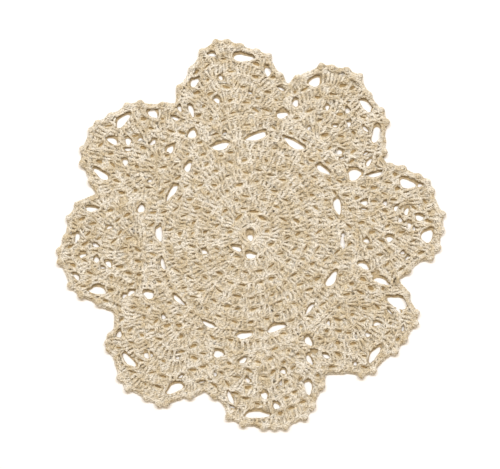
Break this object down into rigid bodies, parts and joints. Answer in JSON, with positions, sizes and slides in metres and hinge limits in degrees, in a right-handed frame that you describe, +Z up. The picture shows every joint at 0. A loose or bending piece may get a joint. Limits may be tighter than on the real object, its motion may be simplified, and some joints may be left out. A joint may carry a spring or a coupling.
{
  "type": "lace doily",
  "caption": "Round crocheted cotton lace mat with a dense disc, an openwork round, scalloped petals and a picot rim; lies flat under a vase, lamp or dish.",
  "frame": {"origin": "centre of the bounding box, on the surface that the mat lies on", "axes": "+Z up, out of the worked face; +Y towards the top of the mat as it is seen from above; +X to the right"},
  "size_m": [0.1676, 0.1682, 0.0021],
  "materials": {
    "crochet_cotton": "matt ecru crochet cotton"
  },
  "bodies": {
    "root": {"doily": "crochet_cotton"}
  },
  "joints": []
}
